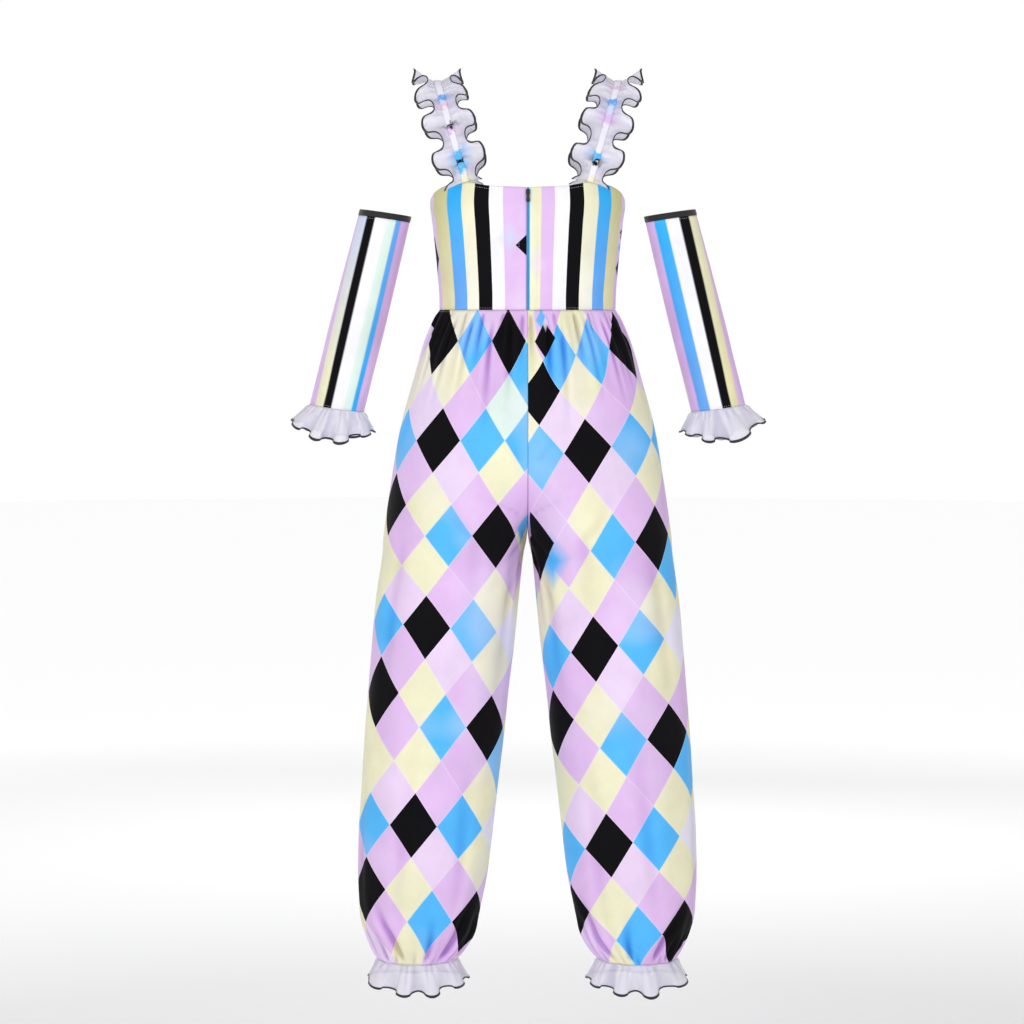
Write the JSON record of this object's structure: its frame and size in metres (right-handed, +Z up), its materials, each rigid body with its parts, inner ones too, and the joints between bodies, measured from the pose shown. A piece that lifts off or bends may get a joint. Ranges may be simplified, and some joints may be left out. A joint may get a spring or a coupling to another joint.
{
  "type": "clown jumpsuit",
  "caption": "Sleeveless clown jumpsuit, hollow as worn: striped bodice with ruffled straps and a back zip, full diamond-print legs with ruffled ankles, and loose ruffled sleeves.",
  "frame": {"origin": "midway between the crests of the two shoulder straps, at their underside, where the wearer's shoulders carry the garment", "axes": "+Z up along the body, +X to the wearer's right, -Y towards the back with its zip"},
  "size_m": [0.729, 0.2556, 1.3884],
  "materials": {
    "striped_satin": "polyester satin in plain stripes of lilac, white, black, cream and blue, soft sheen",
    "diamond_satin": "polyester satin in a diamond print of lilac, cream, blue and black, soft sheen",
    "organza": "crisp sheer white organza with a fine black rolled hem",
    "black_binding": "black elastic binding, matte",
    "blue_zip": "blue nylon zip chain",
    "black_metal": "black painted zip slider and pull, semi-gloss"
  },
  "bodies": {
    "garment": {"bodice_back_left": "striped_satin", "bodice_back_right": "striped_satin", "bodice_front": "striped_satin", "strap_left": "striped_satin", "strap_right": "striped_satin", "strap_ruffle_left": "organza", "strap_ruffle_right": "organza", "zip_tape": "blue_zip", "zip_slider": "black_metal", "leg_left_back": "diamond_satin", "leg_left_front": "diamond_satin", "leg_right_back": "diamond_satin", "leg_right_front": "diamond_satin", "ankle_ruffle_left": "organza", "ankle_ruffle_right": "organza", "sleeve_left": "striped_satin", "sleeve_right": "striped_satin", "sleeve_band_left": "black_binding", "sleeve_band_right": "black_binding", "sleeve_ruffle_left": "organza", "sleeve_ruffle_right": "organza"},
    "zip_pull": {"zip_pull": "black_metal"}
  },
  "joints": [
    {"name": "zip_pull_swing", "type": "hinge", "parent": "garment", "child": "zip_pull", "pos_m": [0, -0.10259, -0.1665], "axis": [-1, 0, 0], "range_deg": [0, 150]}
  ]
}
